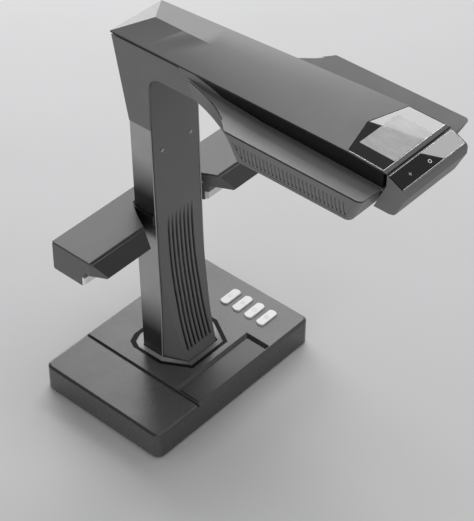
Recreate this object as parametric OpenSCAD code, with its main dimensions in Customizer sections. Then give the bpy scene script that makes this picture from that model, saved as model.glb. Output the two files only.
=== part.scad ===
// Document camera: a wide base with four keys, a leaning column, a long arm whose
// head carries the camera, the lamps and a small screen, and a side light bar that
// clips to the column from behind. Millimetres, +Z up, +X the way the arm reaches.
// Lengths below are measured from the table under the middle of the base; the whole
// model is then moved so that the origin is under the middle of its outline.

/* [Base] */
// Depth of the base, front to back
base_depth = 145; // [140:1:152]
// Width of the base
base_width = 213; // [210:1:222]
// Height of the base's top face above the table
base_height = 30; // [29:0.5:31]
// Bevel round the base's top edge
base_bevel = 2.6; // [1:0.1:3]

/* [Keys] */
// Size of one key from front to back
key_depth = 9.2; // [8:0.1:10.5]
// Length of one key across the base
key_length = 24; // [20:0.5:26]
// Distance from one key to the next
key_pitch = 15.3; // [14:0.1:16]
// How far a key goes down
key_travel = 0.8; // [0.4:0.1:1]

/* [Column] */
// Sideways offset of the column from the base's middle
column_y = 4.5; // [0:0.5:6]
// Width of the column
column_width = 61.4; // [58:0.2:61.6]
// Number of slots in the front panel
slot_count = 7; // [3:2:9]
// Distance from one slot to the next
slot_pitch = 5.1; // [4:0.1:5.6]

/* [Head] */
// Half width over the lamp wings
wing_half = 69.3; // [66:0.1:70]
// Number of ribs in each vent grille
rib_count = 28; // [12:1:32]
// Radius of the camera barrel
barrel_radius = 11; // [8:0.5:12]

/* [Side light] */
// Length of the side light bar
bar_length = 231; // [225:1:235]
// Width of the gap round the column at the bar's front edge
bar_gap = 97; // [94:1:100]

/* [Hidden] */
$fn = 64;
wall = 2.2;

// Base
base_corner = 8;
foot_height = 2;
base_floor = foot_height + 2.6;
base_ceiling = base_height - 2.6;
strip_edge = -50.5;
strip_drop = 0.7;
strip_gap = 2.6;
strip_ledge = 1.8;
key_y = 78;
key_first_x = -3.6;
key_rise = 1.8;
notch_half = 50.5;
notch_back = 41;
notch_floor = base_height - 3.4;
notch_slope = 3.4;
notch_front = base_depth / 2 - base_bevel - 0.5;
port_x = -base_depth / 2;
screw_spots = [for (x = [-52, 4, 60], y = [-98, 98]) [x, y]];
screw_pilot = 1.5;
switch_y = 88;
rocker_axis = [port_x + 4.2, switch_y, 13.5];
rocker_pin = 0.8;
rocker_tilt = 7;

// Column, as points in the side view (x, z)
lean = 1.668;
rear_foot_x = -21.3;
column_half = column_width / 2;
joint_z = 288;
function rear_x(z) = rear_foot_x - (z - base_height) * tan(lean);
function side_x(z) = 2.6 - 7.9 * pow(max(0, z - 95) / 220, 0.82);
function face_x(z) = side_x(z) + 23 * pow(max(0, 1 - (z - 27) / 175), 3) + 0.6;
function face_half(z) = 29.4 - 10.2 * pow(max(0, 1 - (z - 27) / 165), 2);
column_steps = 12;
function column_z(i) = 24 + (joint_z - 24) * i / column_steps;
panel_half = column_half - 2.2;
panel_bottom = 27;
panel_top = 337;
panel_steps = 31;
slot_top = 192;
slot_fade = 46;
slot_half = 1.35;
slot_steps = 20;
cap_z = 261.2;

// Head, as points in the side view (x, z)
head_half = 31;
head_top = 368.2;
pod_top = 367.2;
pod_floor = 338.8;
pod_lean = 5.2;
lean_angle = atan2(pod_lean, pod_top - pod_floor);
arch_z = 344.3;
pod_front = 247;
sweep_radius = 140;
sweep_centre = [2.7, 168];
sweep_stretch = 1.107;
sweep_lean = 0.542;
nose_half = 40.6;
camera_x = 188;
window_radius = 15;
vent_top = pod_top - 9;
lamp_x = 132;
lamp_y = 38;
lamp_length = 94;
lamp_width = 20;

// Arm roof: back edge, ridge and screen facet
roof_back = [-46.6, 31.2, 370.7];
roof_ridge_back = [-24.3, 0, 378.3];
roof_ridge_front = [197.2, 0, 379.3];
roof_front = [209, 39, 378.8];
roof_end = 248;
facet_tilt = 2.1;
roof_rise = (roof_front[2] - roof_back[2]) / (roof_front[0] - roof_back[0]);
display_x = 15;
display_length = 30.5;
display_half = 24;
roof_lip = 1.6;
roof_steps = 14;
glass_front = 243.7;

// Half width of the black tray between the roof and the head housing
tray_back = [-43, 28.4];
tray_bend = [50, 31.4];
tray_front = [244, 38.8];
tray_floor = 359.4;

// Nose, as points in the side view (x, z)
nose_outline = [[248.3, 376.1], [263.5, 368.8], [264.8, 366.3], [265, 360.3], [257.2, 342.8], [254.6, 339.7],
    [250, 338.4], [235.2, 338.4], [248.3, 366.4]];
nose_inner = [[250.1, 373.2], [262.4, 367.3], [262.8, 360.8], [255.4, 343.9], [252.6, 341], [238.9, 340.8],
    [250.3, 366]];

// Side light bar, as points in the side view (x, z)
bar_top = 197.6;
bar_rear = -43.9;
bar_nose = [16.9, 185.3];
bar_floor = 166.9;
bar_outline = [[bar_rear, bar_top], [1.1, bar_top], bar_nose, [bar_nose[0] - 1.4, bar_nose[1] - 1.6],
    [-4.6, bar_floor + 16.3], [-5.7, bar_floor + 15.2], [-5.7, bar_floor + 1.3], [-7, bar_floor],
    [bar_rear + 1.5, bar_floor], [bar_rear, bar_floor + 1.5]];
bar_lid = 1.2;
bar_seam = 0.7;
lens_back = -9.3;
lens_front = -5.7;
lens_low = bar_floor + 1.3;
lens_high = bar_floor + 9.5;

// The middle of the whole outline, which becomes the origin
outline_middle = [(nose_outline[3][0] - base_depth / 2) / 2, column_y, 0];

// ---------- shared shapes ----------

module rounded_rect(depth, width, radius) {
    square([depth - 2 * radius, width], center = true);
    square([depth, width - 2 * radius], center = true);
    for (x = [-1, 1], y = [-1, 1])
        translate([x * (depth / 2 - radius), y * (width / 2 - radius)]) circle(radius);
}

// A closed solid through a list of rings that all have the same number of points
module loft(rings) {
    n = len(rings[0]);
    last = len(rings) - 1;
    sides = [for (i = [0:last - 1], j = [0:n - 1])
        [i * n + j, (i + 1) * n + j, (i + 1) * n + (j + 1) % n, i * n + (j + 1) % n]];
    caps = [[for (j = [0:n - 1]) j], [for (j = [n - 1:-1:0]) last * n + j]];
    polyhedron(concat([for (ring = rings) each ring]), concat(sides, caps), convexity = 8);
}

// A side-view outline (x, z) pulled out across the width, from y0 to y1
module side_slab(points, y0, y1) {
    translate([0, y1, 0]) rotate([90, 0, 0]) linear_extrude(y1 - y0) polygon(points);
}

module on_column() {
    translate([0, column_y, 0]) children();
}

module both_sides() {
    for (s = [-1, 1]) scale_y(s) children();
}

module scale_y(s) {
    if (s < 0) mirror([0, 1, 0]) children();
    else children();
}

// ---------- base ----------

module bevel_section(half, bevel) {
    polygon([[-half, 0], [half, 0], [half - bevel, bevel], [bevel - half, bevel]]);
}

// The base's outer form with a straight wall and a bevelled top edge
module base_form(inset, z0, z1, bevel) {
    depth = base_depth - 2 * inset;
    width = base_width - 2 * inset;
    r = base_corner - inset;
    translate([0, 0, z0]) linear_extrude(z1 - z0 - bevel) rounded_rect(depth, width, r);
    if (bevel > 0) translate([0, 0, z1 - bevel]) {
        for (x = [-1, 1], y = [-1, 1])
            translate([x * (depth / 2 - r), y * (width / 2 - r), 0]) cylinder(bevel, r, r - bevel);
        rotate([90, 0, 0]) linear_extrude(width - 2 * r, center = true)
            bevel_section(depth / 2, bevel);
        rotate([90, 0, 90]) linear_extrude(depth - 2 * r, center = true)
            bevel_section(width / 2, bevel);
    }
}

module key_outline(grow) {
    end_radius = 6;
    intersection() {
        square([key_depth + 2 * grow, key_length + 2 * grow], center = true);
        union() {
            square([2 * key_depth, key_length - 2 * end_radius], center = true);
            for (s = [-1, 1]) translate([0, s * (key_length / 2 - end_radius)]) circle(end_radius + grow);
        }
    }
}

module at_key(i) {
    translate([key_first_x + i * key_pitch, key_y, 0]) children();
}

// Outline of the socket that the column stands in, an octagon with a rounded rear
module socket_outline(inset) {
    front = 35 - inset;
    half = 39.5 - inset;
    rear = -37 + inset;
    polygon([[front, -24 + inset * 0.6], [front, 24 - inset * 0.6], [8 - inset * 0.4, half],
        [rear + 12, half], [rear + 4, half - 4], [rear, half - 14], [rear, 14 - half],
        [rear + 4, 4 - half], [rear + 12, -half], [8 - inset * 0.4, -half]]);
}

module foot_outline(grow) {
    back = rear_x(base_height) - grow;
    polygon([[back, -column_half - grow], [side_x(30) + grow * 0.6, -column_half - grow],
        [face_x(27) + grow, -face_half(30) - grow * 0.6], [face_x(27) + grow, face_half(30) + grow * 0.6],
        [side_x(30) + grow * 0.6, column_half + grow], [back, column_half + grow]]);
}

// The recess for the label near the front edge, with sloping back and ends
module label_recess() {
    slope = notch_slope;
    over = 2;
    deep = base_height - notch_floor;
    front = notch_front;
    grow = slope * over / deep;
    points = [for (level = [[0, notch_floor], [slope + grow, base_height + over]])
        [[notch_back + slope - level[0], -notch_half + slope - level[0], level[1]],
         [front, -notch_half + slope - level[0], level[1]],
         [front, notch_half - slope + level[0], level[1]],
         [notch_back + slope - level[0], notch_half - slope + level[0], level[1]]]];
    loft(points);
}

module port_cuts() {
    for (p = [[-46, 16, 9], [-14, 17, 8], [14, 17, 8], [40, 12, 8]])
        translate([port_x - 1, p[0] - p[1] / 2, 9]) cube([8, p[1], p[2]]);
    translate([port_x - 1, 64, 13.5]) rotate([0, 90, 0]) cylinder(8, 5.6, 5.6);
    translate([port_x - 1, switch_y - 7, 8]) cube([8, 14, 11]);
}

module base_top_cover() {
    color("dimgray") difference() {
        base_form(0, foot_height, base_height, base_bevel);
        difference() {
            base_form(wall + 0.4, foot_height - 1, base_ceiling, 0);
            for (p = screw_spots) translate([p[0], p[1], base_floor]) cylinder(30, 4, 4);
            // floor of the label recess
            translate([notch_back - 1.5, -notch_half - 1.5, notch_floor - 2.4])
                cube([base_depth / 2 - notch_back, 2 * notch_half + 3, 10]);
            // ledge that carries the side cover
            translate([-base_depth, -base_width, base_ceiling - strip_ledge])
                cube([2 * base_depth, base_width + strip_edge + 2, 10]);
        }
        for (p = screw_spots) translate([p[0], p[1], base_floor - 1]) cylinder(16, screw_pilot, screw_pilot);
        translate([-base_depth, -base_width, base_ceiling - 0.01])
            cube([2 * base_depth, base_width + strip_edge, 10]);
        on_column() translate([0, 0, 20]) linear_extrude(20) socket_outline(0);
        for (i = [0:3]) at_key(i) translate([0, 0, 20]) linear_extrude(20) key_outline(0.4);
        label_recess();
        port_cuts();
    }
}

module base_side_cover() {
    color("gray") intersection() {
        base_form(0, foot_height, base_height, base_bevel);
        translate([-base_depth, -base_width, base_ceiling])
            cube([2 * base_depth, base_width + strip_edge - strip_gap,
                base_height - base_ceiling - strip_drop]);
    }
}

module label_plate() {
    back = notch_back + notch_slope + 0.3;
    half = notch_half - notch_slope - 0.4;
    color("darkslategray") translate([back, -half, notch_floor])
        cube([notch_front - back - 0.3, 2 * half, 0.9]);
}

module base_bottom_plate() {
    color("dimgray") difference() {
        base_form(wall + 0.6, foot_height, base_floor, 0);
        for (p = screw_spots) translate([p[0], p[1], 0]) {
            cylinder(10, 1.8, 1.8);
            cylinder(foot_height + 1.2, 3.2, 3.2);
        }
    }
}

module rubber_feet() {
    color("black") for (x = [-1, 1], y = [-1, 1])
        translate([x * (base_depth / 2 - 22), y * (base_width / 2 - 26), 0]) cylinder(foot_height, 8, 8);
}

module ballast_plate() {
    color("slategray") translate([-50, -82, base_floor]) cube([88, 128, 5]);
}

module base_screws() {
    color("silver") for (p = screw_spots) translate([p[0], p[1], foot_height + 0.2]) {
        cylinder(1, 2.9, 2.9);
        cylinder(14, screw_pilot - 0.05, screw_pilot - 0.05);
    }
}

module main_board() {
    color("darkgreen") translate([-66, -56, base_floor + 3]) cube([14, 112, 1.6]);
    color("black") for (y = [-30, -4, 24, 46]) translate([-60, y, base_floor + 4.6]) cube([7, 8, 1.4]);
}

module port_shell(y, width, height, inset) {
    translate([port_x + 0.6, y - width / 2 + 0.4, 9.4]) difference() {
        cube([11, width - 0.8, height - 0.8]);
        translate([-1, inset, inset]) cube([10, width - 0.8 - 2 * inset, height - 0.8 - 2 * inset]);
    }
}

module usb_ports() {
    color("silver") for (y = [-14, 14]) port_shell(y, 17, 8, 0.6);
}

module video_port() {
    color("silver") port_shell(-46, 16, 9, 0.8);
}

module accessory_port() {
    color("silver") port_shell(40, 12, 8, 0.8);
}

module power_inlet() {
    color("black") translate([port_x + 0.6, 64, 13.5]) rotate([0, 90, 0]) difference() {
        cylinder(12, 5.4, 5.4);
        translate([0, 0, -1]) cylinder(11, 2.8, 2.8);
    }
    color("silver") translate([port_x + 2.6, 64, 13.5]) rotate([0, 90, 0]) cylinder(8, 1, 1);
}

module power_switch_housing() {
    color("black") difference() {
        translate([port_x + 0.4, switch_y - 6.8, 8.2]) cube([12, 13.6, 10.6]);
        translate([port_x - 1, switch_y - 5.2, 9.6]) cube([10, 10.4, 7.8]);
        translate(rocker_axis) rotate([90, 0, 0])
            cylinder(20, rocker_pin + 0.05, rocker_pin + 0.05, center = true);
    }
}

// The rocker rests tilted to its off side
module power_rocker() {
    color("firebrick") translate(rocker_axis) rotate([90, 0, 0]) {
        rotate(rocker_tilt) linear_extrude(9.8, center = true)
            polygon([[0.6, -2.7], [2.6, 0], [0.6, 2.7], [-4.4, 3], [-3.6, 0], [-4.4, -3]]);
        cylinder(13, rocker_pin, rocker_pin, center = true);
    }
}

module key_board() {
    color("darkgreen") translate([-12, 64, base_floor + 7.4]) cube([64, 28, 1.6]);
    // posts that carry the board
    color("dimgray") for (x = [-9, 49], y = [67, 89]) translate([x, y, base_floor]) cylinder(7.4, 2, 2);
}

module key_switches() {
    color("black") for (i = [0:3]) at_key(i) translate([-3, -3, base_floor + 9]) cube([6, 6, 3.6]);
}

module key(i) {
    cap_bottom = base_ceiling - 0.3;
    switch_top = base_floor + 12.6;
    color("whitesmoke") at_key(i) {
        translate([0, 0, cap_bottom - 0.1]) linear_extrude(base_height + key_rise - cap_bottom + 0.1)
            key_outline(0);
        translate([0, 0, cap_bottom - 1.3]) linear_extrude(1.3) key_outline(1.2);
        translate([0, 0, switch_top + key_travel + 0.3])
            cylinder(cap_bottom - 1.2 - switch_top - key_travel - 0.3, 2, 2);
    }
}

module key_1() { key(0); }
module key_2() { key(1); }
module key_3() { key(2); }
module key_4() { key(3); }

// ---------- column ----------

module column_collar() {
    color("darkgray") on_column() difference() {
        union() {
            translate([0, 0, base_ceiling - 2]) linear_extrude(2) socket_outline(-2.5);
            translate([0, 0, base_ceiling - 3.4]) linear_extrude(base_height - base_ceiling + 2.8)
                socket_outline(2.6);
        }
        translate([0, 0, 10]) linear_extrude(30) foot_outline(0.25);
    }
}

module column_spine() {
    color("silver") on_column() {
        difference() {
            translate([rear_foot_x, 0, base_height]) rotate([0, -lean, 0])
                translate([wall + 0.4, -22, -20]) cube([11, 44, 345]);
            translate([rear_foot_x, 0, base_height]) rotate([0, -lean, 0])
                translate([wall + 2.4, -20, -30]) cube([7, 40, 400]);
            translate([-60, -40, 0]) cube([100, 80, base_floor + 5 + 2.4]);
        }
        translate([-34, -36, base_floor + 5]) cube([54, 72, 2.4]);
    }
}

module column_shell() {
    outer = concat([[rear_x(24), 24], [rear_x(joint_z), joint_z]],
        [for (i = [column_steps:-1:0]) [side_x(column_z(i)), column_z(i)]]);
    inner = [[rear_x(20) + wall, 20], [rear_x(joint_z + 5) + wall, joint_z + 5], [20, joint_z + 5], [20, 20]];
    color("gray") on_column() difference() {
        side_slab(outer, -column_half, column_half);
        side_slab(inner, 1.5 - column_half, column_half - 1.5);
    }
}

function panel_z(i) = panel_bottom + (panel_top - panel_bottom) * i / panel_steps;
function panel_ring(z, back, shrink) = [
    [side_x(z) - back, -panel_half + shrink, z], [side_x(z) - shrink, -panel_half + shrink, z],
    [face_x(z) - shrink, shrink - min(panel_half - 0.8, face_half(z)), z],
    [face_x(z) - shrink, min(panel_half - 0.8, face_half(z)) - shrink, z],
    [side_x(z) - shrink, panel_half - shrink, z], [side_x(z) - back, panel_half - shrink, z]];

function slot_z(i) = 38 + (slot_top - 38) * i / slot_steps;
function slot_depth(z) = 4.4 * min(1, (slot_top - z) / slot_fade) - 0.3;

module panel_slots() {
    outline = concat([for (i = [0:slot_steps]) [face_x(slot_z(i)) + 1, slot_z(i)]],
        [for (i = [slot_steps:-1:0]) [face_x(slot_z(i)) - slot_depth(slot_z(i)), slot_z(i)]]);
    for (k = [0:slot_count - 1]) {
        y = (k - (slot_count - 1) / 2) * slot_pitch;
        side_slab(outline, y - slot_half, y + slot_half);
    }
}

module column_front_panel() {
    color("dimgray") on_column() difference() {
        loft([for (i = [0:panel_steps]) panel_ring(panel_z(i), 2.6, 0)]);
        loft([for (i = [-1:panel_steps - 1]) panel_ring(panel_z(i) - 1.3, 4, wall)]);
        panel_slots();
        // rounded top corners
        both_sides() translate([-20, panel_half - 8, panel_top - 8]) difference() {
            cube([40, 10, 10]);
            rotate([0, 90, 0]) cylinder(40, 8, 8);
        }
    }
}

module panel_caps() {
    color("silver") on_column() both_sides()
        translate([face_x(cap_z - 2) + 0.03, 18.1, cap_z]) rotate([0, 90, 0]) cylinder(0.5, 2, 2);
}

module wiring_harness() {
    color("black") on_column() {
        translate([rear_foot_x, 0, base_height]) rotate([0, -lean, 0]) translate([17.4, 0, -10])
            cylinder(325, 2.5, 2.5);
    }
}

// ---------- head ----------

// Centre of the head housing: neck above the joint, arch, long body
function head_profile(g) = [
    [rear_x(joint_z) + g, joint_z - 4 * sign(g)], [-45.8 + g * 1.1, head_top - 0.8 + 3 * sign(g)],
    [20, head_top + 3 * sign(g)], [60, head_top - 1.4 + 3 * sign(g)],
    [pod_front - 3 - g, pod_top + 3 * sign(g)],
    [pod_front - 13.4 - g, pod_floor + g], [122, pod_floor + g], [52, arch_z + g], [9 - g, arch_z + g],
    for (a = [100:20:180]) [9 - g + 14 * cos(a), arch_z + g - 14 + 14 * sin(a)],
    [side_x(joint_z) - g * 0.2, joint_z - 4 * sign(g)]];

module tray_outline(inset) {
    upper = [[tray_back[0] + inset, tray_back[1] - inset], [tray_bend[0], tray_bend[1] - inset],
        [tray_front[0] - inset, tray_front[1] - inset]];
    polygon(concat(upper, [for (i = [2:-1:0]) [upper[i][0], -upper[i][1]]]));
}

// The wings' cross-section: the top falls from the outer edge to the tray's foot
wing_steps = [20, 52, 66, 80, 94, 108, 122, 300];
function back_part(x) = min(1, max(0, (122 - x) / 70));
function tray_half(x) = mix(tray_bend[1], tray_front[1], (x - tray_bend[0]) / (tray_front[0] - tray_bend[0]));
function wing_inner(x) = max(31, tray_half(x)) + 1.2;
function wing_slope(x) = 0.22 - 0.115 * back_part(x);
function wing_foot(x) = pod_top - wing_slope(x) * (wing_half - wing_inner(x));
function wing_ring(x, g) = let (half = wing_half + 2, inner = wing_inner(x),
    low = mix(pod_floor, arch_z, back_part(x)) + g, edge = pod_top + 2 * wing_slope(x) - g)
    [[x, -half, low], [x, half, low], [x, half, edge], [x, inner, wing_foot(x) - g],
     [x, -inner, wing_foot(x) - g], [x, -half, edge]];

module wing_section(g) {
    loft([for (x = wing_steps) wing_ring(x, g)]);
}

// Outline of both wings in plan at the height z, with rounded front corners
function wing_plan(z, g) = let (drop = (pod_top - z) / (pod_top - pod_floor),
    front = pod_front - 13.4 * drop - g, half = wing_half - pod_lean * drop - g, r = 5 - min(g, 2))
    concat([[20, half, z], [20, -half, z]],
        [for (a = [-90:15:0]) [front - r + r * cos(a), r - half + r * sin(a), z]],
        [for (a = [0:15:90]) [front - r + r * cos(a), half - r + r * sin(a), z]]);

// Outline at the height z of what is swept away behind a wing
function sweep_plan(z, g) = let (x = sweep_centre[0] - (z - pod_top) * sweep_lean, r = sweep_radius + g)
    concat([for (a = [-96:3:-30]) [x + sweep_stretch * r * cos(a), sweep_centre[1] + r * sin(a), z]],
        [[x - 60, sweep_centre[1] - r * 0.5, z], [x - 60, sweep_centre[1] - r * 0.99, z]]);

// The wings' walls: straight sides, rear corners swept in by a leaning curve
module wing_walls(g) {
    difference() {
        loft([for (z = [pod_floor - 5, pod_top + 5]) wing_plan(z, g)]);
        both_sides() loft([for (z = [pod_floor - 10, pod_top + 10]) sweep_plan(z, g)]);
    }
}

module pod_form(g) {
    intersection() {
        wing_walls(g);
        wing_section(g);
    }
}

// Band just under a wing's top, which falls inwards by the given slope
module top_band(x0, x1, y, slope) {
    fall = (wing_half - y) * slope;
    both_sides() translate([x0, 0, pod_top]) rotate([90, 0, 90]) linear_extrude(x1 - x0)
        polygon([[y, -0.6 - fall], [wing_half + 3, 3 * slope - 0.6],
            [wing_half + 3, 3 * slope - 2.3], [y, -2.3 - fall]]);
}

// Shadow line round the wings, just under their top edge
module wing_groove() {
    intersection() {
        top_band(112, 260, 42, 0.22);
        difference() {
            loft([for (z = [pod_floor - 5, pod_top + 5]) wing_plan(z, -1)]);
            loft([for (z = [pod_floor - 5, pod_top + 5]) wing_plan(z, 1.1)]);
        }
    }
    intersection() {
        top_band(35, 118, 31.5, 0.12);
        both_sides() difference() {
            loft([for (z = [pod_floor - 10, pod_top + 10]) sweep_plan(z, 1.1)]);
            loft([for (z = [pod_floor - 10, pod_top + 10]) sweep_plan(z, -1)]);
        }
    }
}

// Low lip on the wings along the tray's foot
module tray_lip() {
    intersection() {
        translate([0, 0, 350]) linear_extrude(30) tray_outline(-1.3);
        side_slab(concat([for (x = [52, 66, 80, 94, 108, 122, 245.2]) [x, wing_foot(x) + 0.9]],
            [for (x = [245.2, 122, 108, 94, 80, 66, 52]) [x, wing_foot(x) - 1]]), -50, 50);
    }
}

// Opening in the side of a lamp wing, cut square to the width
module vent_window(s, shrink) {
    side_slab([[119.2 + shrink, vent_top - shrink], [128 + shrink, pod_floor + 3 + shrink],
        [230 - shrink, pod_floor + 3 + shrink], [238 - shrink, vent_top - shrink]],
        s > 0 ? wing_half - 16 : -wing_half - 2, s > 0 ? wing_half + 2 : 16 - wing_half);
}

module head_housing() {
    color("gray") on_column() difference() {
        union() {
            side_slab(head_profile(0), -head_half, head_half);
            pod_form(0);
            tray_lip();
        }
        wing_groove();
        side_slab(head_profile(wall), wall - head_half, head_half - wall);
        pod_form(wall);
        // seat and opening for the tray
        translate([0, 0, tray_floor]) linear_extrude(20) tray_outline(-0.15);
        translate([0, 0, tray_floor - 8]) linear_extrude(20) tray_outline(1.6);
        // opening that the column's front panel closes
        translate([-12, -panel_half - 0.6, joint_z - 5])
            cube([14, 2 * panel_half + 1.2, panel_top - joint_z + 5.6]);
        for (s = [-1, 1]) vent_window(s, 0);
        // lamp and camera openings in the floor
        both_sides() translate([lamp_x, lamp_y, pod_floor - 2]) cube([lamp_length, lamp_width, 8]);
        translate([camera_x, 0, pod_floor - 2]) cylinder(8, window_radius, window_radius);
        // the nose closes the front
        translate([pod_front - 24, -head_half + 2, pod_floor + 4]) cube([30, 2 * head_half - 4, 22]);
    }
}

// One ring across the arm's roof at the fraction t of its length
function mix(a, b, t) = a + (b - a) * t;
function roof_ring(t, thin) = let (edge = mix(roof_back, roof_front, t),
    ridge = mix(roof_ridge_back, roof_ridge_front, t), half = edge[1] - thin,
    top = edge[2] - thin * 0.75, low = edge[2] - roof_lip - thin * 4)
    [[edge[0], -half, low], [edge[0], -half, top], [ridge[0], 0, ridge[2] - thin],
     [edge[0], half, top], [edge[0], half, low]];

module roof_loft(steps, thin) {
    rings = [for (t = steps) roof_ring(t, thin)];
    last = len(rings) - 1;
    sides = [for (i = [0:last - 1], j = [0:4])
        [i * 5 + j, i * 5 + (j + 1) % 5, (i + 1) * 5 + (j + 1) % 5, (i + 1) * 5 + j]];
    end = last * 5;
    caps = [[3, 2, 1], [4, 3, 1, 0], [end + 1, end + 2, end + 3], [end, end + 1, end + 3, end + 4]];
    polyhedron([for (ring = rings) each ring], concat(sides, caps), convexity = 8);
}

// Frame on the sloping screen facet: x runs forward from the ridge's end, z stands off it
module on_facet() {
    translate(roof_ridge_front) rotate([0, facet_tilt, 0]) children();
}

module facet_outline(inset, front) {
    bend = roof_front[0] - roof_ridge_front[0];
    half = roof_front[1];
    polygon([[inset * 1.2, 0], [bend + inset * 0.4, half - inset], [front, half + 0.8 - inset],
        [front, inset - half - 0.8], [bend + inset * 0.4, inset - half]]);
}

module arm_roof_cover() {
    color("gray") on_column() difference() {
        union() {
            roof_loft([for (i = [0:roof_steps]) i / roof_steps], 0);
            on_facet() translate([0, 0, -roof_lip]) linear_extrude(roof_lip)
                facet_outline(0, roof_end - roof_ridge_front[0]);
        }
        roof_loft([for (i = [0:roof_steps]) 0.03 + 0.99 * i / roof_steps], 2);
        on_facet() translate([0, 0, -1.2]) linear_extrude(5)
            facet_outline(0.9, glass_front - roof_ridge_front[0]);
        on_facet() translate([display_x - 1, -display_half - 1, -9])
            cube([display_length + 2, 2 * display_half + 2, 10]);
    }
}

module arm_tray() {
    low = function(x) roof_back[2] - roof_lip - 0.1 + (x - roof_back[0]) * roof_rise;
    color([0.05, 0.05, 0.05]) on_column() intersection() {
        translate([0, 0, tray_floor]) linear_extrude(30) difference() {
            tray_outline(0);
            tray_outline(1.8);
        }
        side_slab([[-60, 350], [-60, low(-60)], [209, low(209)], [250, low(209) - 41 * tan(facet_tilt)],
            [250, 350]], -50, 50);
        // clear of the display
        difference() {
            translate([-60, -50, 350]) cube([320, 100, 40]);
            on_facet() translate([display_x - 0.4, -display_half - 0.4, -5.4])
                cube([display_length + 0.8, 2 * display_half + 0.8, 12]);
        }
    }
}

module arm_beam() {
    color("silver") on_column() difference() {
        translate([-16.6, -14, 349.4]) cube([184, 28, 12]);
        translate([-20, -12, 351.4]) cube([200, 24, 8]);
    }
}

module screen_glass() {
    color([0.04, 0.04, 0.05]) on_column() on_facet() translate([0, 0, -1.2]) linear_extrude(1.15)
        facet_outline(1.05, glass_front - roof_ridge_front[0]);
}

module display_module() {
    color("gainsboro") on_column() on_facet() translate([display_x, -display_half, -4.8])
        cube([display_length, 2 * display_half, 3.5]);
}

module nose_section(shrink) {
    rotate([90, 0, 90]) linear_extrude(300) polygon([
        [-nose_half + shrink, 380], [-nose_half + shrink, 364], [shrink - nose_half + 4.2, 336],
        [nose_half - 4.2 - shrink, 336], [nose_half - shrink, 364], [nose_half - shrink, 380]]);
}

// Frame on the nose's sloping top: x runs down the slope, z stands off it
module on_nose() {
    slope = atan2(nose_outline[0][1] - nose_outline[1][1], nose_outline[1][0] - nose_outline[0][0]);
    translate([nose_outline[0][0], 0, nose_outline[0][1]]) rotate([0, slope, 0]) children();
}

module nose_cover() {
    color("gray") on_column() difference() {
        intersection() {
            side_slab(nose_outline, -nose_half, nose_half);
            nose_section(0);
        }
        intersection() {
            side_slab(nose_inner, 2 - nose_half, nose_half - 2);
            nose_section(2);
        }
        on_nose() translate([0.8, -39.4, -1.2]) cube([15.4, 78.8, 5]);
        on_nose() translate([3, -30, -6]) cube([11, 60, 10]);
        // back opening for the harness of the touch board
        translate([236, -20, 350]) cube([16, 40, 10]);
    }
}

module touch_panel() {
    color("black") on_column() on_nose() translate([0.95, -39.25, -1.2]) cube([15.1, 78.5, 1.25]);
}

module touch_board() {
    color("darkgreen") on_column() on_nose() translate([3.4, -29, -2.8]) cube([10, 58, 1.6]);
}

module vent_grille(s) {
    pitch = 106 / (rib_count - 1);
    color("dimgray") on_column() difference() {
        intersection() {
            pod_form(0.25);
            vent_window(s, 0.2);
            translate([0, s > 0 ? 0 : -100, 300]) cube([300, 100, 100]);
        }
        pod_form(2.4);
        // grooves between the ribs, each ending in a small hole
        for (i = [0:rib_count - 1]) translate([123.6 + i * pitch, 0, pod_floor]) {
            hole = max(5.7, 22.1 - (4.4 + i * pitch) / sweep_lean);
            scale_y(s) translate([0, wing_half - pod_lean, 0]) rotate([-lean_angle, 0, 0]) {
                translate([-0.95, -0.75, hole + 1.3]) cube([1.9, 4, 17.6 - hole]);
                translate([0, 6, hole]) rotate([90, 0, 0]) cylinder(12, 0.95, 0.95);
            }
        }
    }
}

module vent_grille_left() { vent_grille(-1); }
module vent_grille_right() { vent_grille(1); }

module lamp_diffusers() {
    color("white") on_column() both_sides() translate([lamp_x + 0.2, lamp_y + 0.2, pod_floor + 0.1])
        cube([lamp_length - 0.4, lamp_width - 0.4, 2]);
}

module lamp_boards() {
    on_column() both_sides() {
        color("white") translate([lamp_x + 3, lamp_y + 2, pod_floor + 8])
            cube([lamp_length - 6, lamp_width - 4, 1.6]);
        color("khaki") for (i = [0:7]) translate([lamp_x + 8 + i * 11, lamp_y + 8.5, pod_floor + 7.2])
            cube([3, 3, 0.9]);
    }
}

module heat_sink() {
    color("silver") on_column() both_sides() translate([lamp_x + 3, lamp_y + 2, pod_floor + 9.6]) {
        cube([lamp_length - 6, lamp_width - 4, 2]);
        for (i = [0:4]) translate([0, i * 3.6, 1.9]) cube([lamp_length - 6, 1.2, 6]);
    }
}

module camera_window() {
    color("lightsteelblue") on_column() translate([camera_x, 0, pod_floor + 0.2])
        cylinder(1.4, window_radius - 0.1, window_radius - 0.1);
}

module camera_barrel() {
    color([0.08, 0.08, 0.08]) on_column() translate([camera_x, 0, pod_floor + 3]) difference() {
        cylinder(16, barrel_radius, barrel_radius);
        translate([0, 0, -1]) cylinder(14, barrel_radius - 2.5, barrel_radius - 2.5);
        translate([0, 0, 12]) cylinder(10, 5, 5);
    }
}

module camera_lens() {
    lens_radius = barrel_radius - 2.55;
    color("midnightblue") on_column() translate([camera_x, 0, pod_floor + 6]) {
        cylinder(3, lens_radius, lens_radius);
        translate([0, 0, 5]) cylinder(2, lens_radius, lens_radius);
    }
}

module camera_board() {
    color("darkgreen") on_column() translate([camera_x - 15, -15, pod_floor + 19]) cube([30, 30, 1.6]);
}

// ---------- side light ----------

// Half width of the gap round the column, growing from its back wall to the front
function gap_half(x) = bar_gap / 2 * sqrt((x + 47.6) / 48.7);

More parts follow.
